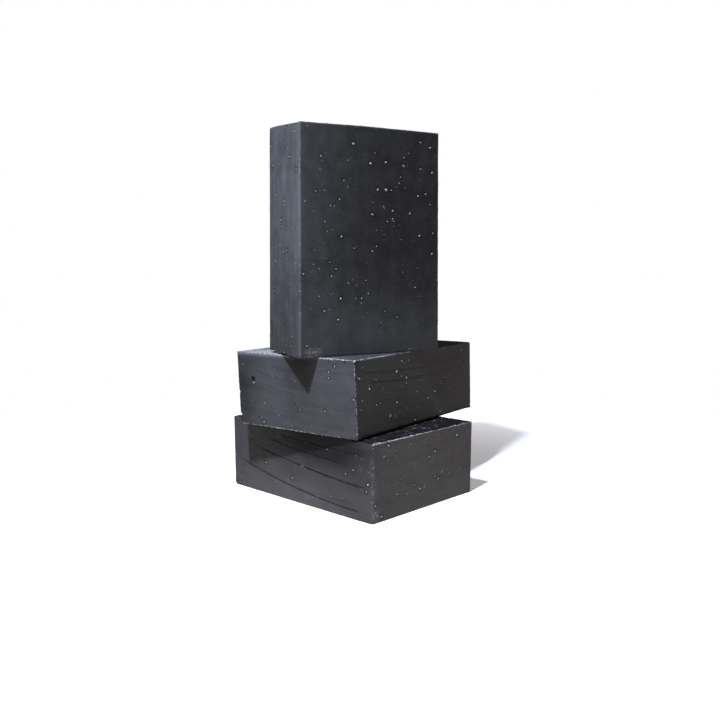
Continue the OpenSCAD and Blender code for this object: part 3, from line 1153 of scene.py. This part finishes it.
def middle_bar() -> Bar:
    """The bar in the middle, which lies flat: a pit in front and sweeping marks on its right side."""
    front, right, left, top, bottom = Side.FRONT, Side.RIGHT, Side.LEFT, Side.TOP, Side.BOTTOM
    return Bar(
        name="middle", seed=23, cells=(0.62, 0.62, 0.25),
        # Its rubbed colour is pale enough to paint the sheen on the top's front left as well as its rubbed
        # edges.
        finish=CharcoalFinish("middle_charcoal", rubbed=(0.52, 0.515, 0.515), streaks=0.3),
        edges=[Edge((front, right), radius=0.5, ragged=0.6, wear=0.3, crumbs=3.0),
               Edge((front, top), radius=0.35, ragged=0.6, wear=0.12, crumbs=2.0),
               Edge((top, right), radius=0.4, ragged=0.5, wear=0.35, crumbs=2.0),
               Edge((front, bottom), radius=0.5, ragged=0.6, wear=0.55, crumbs=2.0),
               Edge((right, bottom), radius=1.1, ragged=0.3, wear=0.0, crumbs=1.0),
               Edge((right, Side.BACK), radius=0.5, ragged=0.3, wear=0.05),
               Edge((front, left), radius=0.4, ragged=0.7, wear=0.05, crumbs=2.0)],
        lines=[DragLine(front, (0.12, 0.77), (0.66, 0.64), sag=0.9, depth=0.06, width=0.3, lip_highlight=0.0),
               DragLine(front, (0.18, 0.61), (0.52, 0.49), sag=0.6, depth=0.04, width=0.3, lip_highlight=0.0),
               DragLine(right, (0.02, 0.83), (0.99, 0.88), sag=3.0, depth=0.09, width=0.28, lip_highlight=0.05),
               DragLine(right, (0.02, 0.87), (0.99, 0.92), sag=3.0, depth=-0.1, width=0.3),
               DragLine(right, (0.02, 0.72), (0.97, 0.76), sag=3.3, depth=0.09, width=0.28, lip_highlight=0.05),
               DragLine(right, (0.02, 0.755), (0.97, 0.80), sag=3.3, depth=-0.08, width=0.3),
               DragLine(right, (0.50, 0.76), (0.98, 0.83), sag=0.8, depth=0.07, width=0.24),
               DragLine(right, (0.28, 0.65), (0.86, 0.66), sag=1.1, depth=0.06, width=0.24),
               DragLine(right, (0.67, 0.38), (0.87, 0.45), sag=0.5, depth=-0.12, width=0.3)],
        scoops=[Scoop((0.14, 0.0, 0.64), 0.95, 0.9), Scoop((1.0, 1.0, 1.0), 2.6, 0.6),
                Scoop((0.0, 0.0, 0.45), 2.0, 0.5), Scoop((0.0, 0.0, 0.1), 2.4, 0.8),
                Scoop((1.0, 0.0, 1.0), 1.6, 0.5)],
        # The first scuff is a painted highlight on the lip under the front pit.
        scuffs_and_highlights=[Patch((0.145, 0.0, 0.59), (1.0, 1, 0.4), 0.7), Patch((0.6, 0.0, 0.09), (9, 1, 1.6), 0.14),
                Patch((0.9, 0.04, 1.0), (6, 3, 0.6), 0.22), Patch((0.79, 0.0, 0.79), (1.6, 1, 2.0), 0.2),
                Patch((0.85, 0.0, 1.0), (11, 0.6, 0.5), 0.8), Patch((1.0, 0.12, 1.0), (0.6, 14, 0.5), 0.5),
                # The second scuff here, on the top's front left, is painted sheen.
                Patch((0.4, 0.0, 0.0), (24, 0.6, 0.6), 0.4), Patch((0.3, 0.04, 1.0), (20, 10, 0.8), 0.7),
                Patch((1.0, 0.0, 0.5), (0.5, 0.5, 17), 0.15), Patch((1.0, 0.78, 0.41), (1, 4, 0.8), 0.2)],
        # The bright patch on the top's front left, second here, is painted sheen.
        ash_and_painted_light=[Patch((0.0, 0.0, 0.5), (10, 3, 24), -0.32), Patch((0.18, 0.0, 1.0), (22, 15, 1.0), 1.3),
               Patch((0.3, 0.3, 1.0), (50, 50, 1.0), 0.06), Patch((0.8, 0.0, 1.0), (20, 3, 3), -0.12),
               # The first dark patch here deepens the shadow that the upper bar casts on the front: painted
               # shade.
               Patch((0.54, 0.0, 0.9), (8, 3, 9), -0.26), Patch((0.88, 0.0, 0.5), (12, 3, 16), -0.04),
               # This pale patch at the back of the right side is painted light that lifts the upper bar's
               # shadow there.
               Patch((1.0, 0.8, 0.5), (3, 26, 20), 0.06)],
        # Painted shade: inside the pit in front, and along the contact under the right side's foot.
        shade_patches=[Patch((0.14, 0.0, 0.65), (0.75, 1.5, 0.7), 1.4), Patch((1.0, 0.5, 0.0), (2.5, 90, 1.2), 1.0)],
        shine=0.9,
        ash={front: 0.395, right: 0.11, top: 0.2, left: 0.45, Side.BACK: 0.4, bottom: 0.3},
        sweeps={front: Sweep(-3.5, 1.0), right: Sweep(1.4, 3.2), Side.BACK: Sweep(2.0, 1.0)},
        torn={top: 0.14})


def upper_bar() -> Bar:
    """The bar on top, which stands on its end: upright brushing and the most crystals."""
    front, right, left, top, bottom = Side.FRONT, Side.RIGHT, Side.LEFT, Side.TOP, Side.BOTTOM
    return Bar(
        name="upper", seed=37, cells=(0.47, 0.47, 0.47),
        finish=CharcoalFinish("upper_charcoal", specular=0.08, streaks=0.12),
        edges=[Edge((front, right), radius=0.5, ragged=0.4, wear=0.3, crumbs=0.5),
               Edge((front, top), radius=0.5, ragged=0.6, wear=0.15, crumbs=5.0),
               Edge((top, right), radius=0.45, ragged=0.6, wear=0.2, crumbs=4.0),
               Edge((front, left), radius=0.35, ragged=0.5, wear=0.05, crumbs=1.0),
               Edge((front, bottom), radius=0.3, ragged=0.5, wear=0.2, crumbs=1.0),
               Edge((right, bottom), radius=0.35, ragged=0.5, wear=0.15, crumbs=1.0),
               Edge((right, Side.BACK), radius=0.3, ragged=0.8, wear=0.05, crumbs=1.0)],
        scoops=[Scoop((0.86, 0.0, 1.0), 3.2, 0.8), Scoop((0.62, 0.0, 1.0), 3.4, 0.7),
                Scoop((1.0, 0.97, 0.92), 1.2, 0.3), Scoop((1.0, 1.0, 0.62), 1.4, 0.4),
                Scoop((0.0, 0.0, 1.0), 2.0, 0.6)],
        scuffs_and_highlights=[Patch((1.0, 0.09, 0.025), (1, 3.6, 1.4), 0.7), Patch((1.0, 0.05, 0.0), (1, 9, 0.5), 0.3),
                Patch((1.0, 0.0, 0.42), (0.5, 0.5, 26), 0.1)],
        ash_and_painted_light=[Patch((1.0, 0.0, 0.55), (3, 20, 70), 0.12), Patch((1.0, 0.5, 0.04), (3, 60, 18), 0.17),
               Patch((0.8, 0.0, 0.6), (5, 3, 30), 0.1), Patch((1.0, 0.0, 0.62), (0.7, 0.7, 50), 0.14),
               Patch((0.35, 0.0, 0.8), (7, 3, 20), 0.06), Patch((0.3, 0.0, 0.08), (16, 3, 16), -0.1)],
        rises=[Patch((0.0, 0.0, 0.5), (15, 26, 900), 1.0), Patch((1.0, 0.0, 1.0), (12, 18, 14), -0.5)],
        ash={front: 0.39, right: 0.01, top: 0.3, left: 0.2, Side.BACK: 0.4, bottom: 0.3},
        sweeps={side: Sweep(0.0, 0.4, upright=True) for side in (front, right, left, Side.BACK)},
        clouds=0.55, shine=0.42, specks=3.5)


# ---------------------------------------------------------------- floor, light and camera

WHITE: Colour = (1.0, 1.0, 1.0)


@dataclass(frozen=True)
class Lamp:
    """One area light.

    Attributes:
        name: Its name.
        shape: Its shape, as the light's own setting names it.
        place: Its place in mm.
        width: Its width in mm.
        power: Its power in watts.
        colour: Its colour.
    """

    name: str
    shape: str
    place: Place
    width: float
    power: float
    colour: Colour

    def hang(self, aim: Place) -> None:
        """Hangs the light and points it at a place in mm."""
        lamp = bpy.data.lights.new(self.name, "AREA")
        lamp.shape = self.shape
        lamp.size = self.width * MM
        lamp.energy = self.power
        lamp.color = self.colour
        holder = link(bpy.data.objects.new(self.name, lamp))
        spot = Vector(self.place) * MM
        holder.location = spot
        holder.rotation_euler = (spot - Vector(aim) * MM).to_track_quat("Z", "Y").to_euler()


@dataclass(frozen=True)
class Studio:
    """A plain pale floor, a few lights, a soft surround and the camera.

    Attributes:
        camera_place: The camera, in mm.
        azimuth: Its turn in degrees; it looks towards -X and +Y.
        pitch: How far it looks down, in degrees.
        roll: Its roll in degrees.
        lens: Its focal length in mm.
        sensor: Width of its sensor in mm.
        lamps: A small cool key light above, a broad warm fill at the right and a dim one behind.
        aim: What the lights point at, in mm.
        surround: Strength of the soft surround as light.
        surround_colour: Its colour as light.
        floor_half: Half the width of the floor in metres.
        floor_glow: Glow of the floor under the stack.
        floor_lift: What the glow gains away from the stack.
        glow_ring: Where the glow starts and ends to gain, in metres from the middle.
        fade_ring: Where the floor starts and ends to fade to white, in metres from the middle.
    """

    camera_place: Place = (226.9, -225.6, 90.3)
    azimuth: float = 45.59
    pitch: float = 6.58
    roll: float = -0.31
    lens: float = 39.47
    sensor: float = 36.0
    lamps: tuple[Lamp, ...] = (
        Lamp("key", "DISK", place=(88.0, -187.0, 368.0), width=22.0, power=2.6, colour=(0.84, 0.94, 1.13)),
        Lamp("fill", "SQUARE", place=(400.0, 420.0, 50.0), width=260.0, power=0.95, colour=(1.0, 0.91, 0.82)),
        Lamp("back", "SQUARE", place=(-430.0, 240.0, 60.0), width=260.0, power=0.6, colour=(1.0, 0.96, 0.94)))
    aim: Place = (0.0, 0.0, 60.0)
    surround: float = 0.055
    surround_colour: Colour = (1.0, 0.96, 0.92)
    floor_half: float = 3.0
    floor_glow: float = 0.3
    floor_lift: float = 0.38
    glow_ring: tuple[float, float] = (0.06, 0.2)
    fade_ring: tuple[float, float] = (0.19, 0.28)

    def build_camera(self) -> None:
        """Places the camera."""
        turn, pitch, roll = (math.radians(angle) for angle in (self.azimuth, self.pitch, self.roll))
        level = Vector((-math.cos(turn), math.sin(turn), 0))
        right = Vector((math.sin(turn), math.cos(turn), 0))
        rise = Vector((0, 0, 1))
        forward = level * math.cos(pitch) - rise * math.sin(pitch)
        up = level * math.sin(pitch) + rise * math.cos(pitch)
        right, up = right * math.cos(roll) + up * math.sin(roll), up * math.cos(roll) - right * math.sin(roll)
        camera = bpy.data.cameras.new("camera")
        camera.lens = self.lens
        camera.sensor_width = self.sensor
        camera.clip_start = 0.01
        camera.clip_end = 20.0
        holder = link(bpy.data.objects.new("camera", camera))
        holder.matrix_world = Matrix.Translation(Vector(self.camera_place) * MM) @ Matrix(
            (right, up, -forward)).transposed().to_4x4()
        bpy.context.scene.camera = holder

    def build_surround(self) -> None:
        """Makes the surround: white to look at, soft and a little warm as light."""
        world = bpy.data.worlds.new("surround")
        bpy.context.scene.world = world
        world.use_nodes = True
        tree = Tree(world.node_tree)
        world.node_tree.nodes.clear()
        soft = tree.add("ShaderNodeBackground",
                        {"Color": rgba(self.surround_colour), "Strength": self.surround})
        seen = tree.add("ShaderNodeBackground", {"Color": rgba(WHITE), "Strength": 1.0})
        tree.add("ShaderNodeOutputWorld", {0: tree.by_ray(soft, seen)})

    def build_floor(self) -> None:
        """Lays the pale floor, which fades into the surround's white away from the stack."""
        half = self.floor_half
        corners = np.array([[-half, -half, 0], [half, -half, 0], [half, half, 0], [-half, half, 0]])
        floor = new_object("floor", corners, np.array([[0, 1, 2, 3]]))
        paper = bpy.data.materials.new("floor_paper")
        paper.use_nodes = True
        tree = Tree(paper.node_tree)
        paper.node_tree.nodes.clear()
        lit = tree.add("ShaderNodeBsdfDiffuse", {"Color": (0.9, 0.9, 0.91, 1.0)})
        distance = tree.add("ShaderNodeVectorMath", {0: tree.add("ShaderNodeTexCoord").outputs["Object"]},
                            operation="LENGTH").outputs["Value"]
        lift = tree.scaled(tree.step(distance, *self.glow_ring), self.floor_lift, self.floor_glow)
        glow = tree.add("ShaderNodeEmission", {"Color": (0.95, 0.94, 1.0, 1.0), "Strength": lift})
        near = tree.add("ShaderNodeAddShader", {0: lit.outputs[0], 1: glow.outputs[0]})
        far = tree.add("ShaderNodeEmission", {"Color": rgba(WHITE), "Strength": 1.0})
        shown = tree.add("ShaderNodeMixShader",
                         {0: tree.step(distance, *self.fade_ring), 1: near.outputs[0], 2: far.outputs[0]})
        bounce = tree.add("ShaderNodeBsdfDiffuse", {"Color": (0.64, 0.57, 0.5, 1.0)})
        tree.add("ShaderNodeOutputMaterial", {0: tree.by_ray(bounce, shown)})
        floor.data.materials.append(paper)

    def build(self) -> None:
        """Builds the whole studio."""
        self.build_camera()
        for lamp in self.lamps:
            lamp.hang(self.aim)
        self.build_surround()
        self.build_floor()
        bpy.context.scene.view_settings.view_transform = "Standard"


def main() -> None:
    """Builds the studio and the three bars, and keeps their boxes."""
    logging.basicConfig(level=logging.INFO, format="%(name)s %(message)s")
    Studio().build()
    groups, trees = ShaderGroups(), ChipTrees()
    minerals = {
        "crystal": MineralFinish("crystal_mineral", (0.05, 0.048, 0.046), (0.62, 0.59, 0.54)),
        "shard": MineralFinish("shard_mineral", (0.08, 0.077, 0.073), (0.22, 0.21, 0.19)),
        "speck": MineralFinish("speck_mineral", (0.04, 0.039, 0.038), (0.2, 0.19, 0.18)),
        "crumb": MineralFinish("crumb_charcoal", (0.05, 0.05, 0.05), (0.3, 0.29, 0.28), 0.65)}
    finishes = {name: mineral.material(groups) for name, mineral in minerals.items()}
    for bar in (lower_bar(), middle_bar(), upper_bar()):
        bar.build(groups, trees, finishes)


if __name__ == "__main__":
    main()
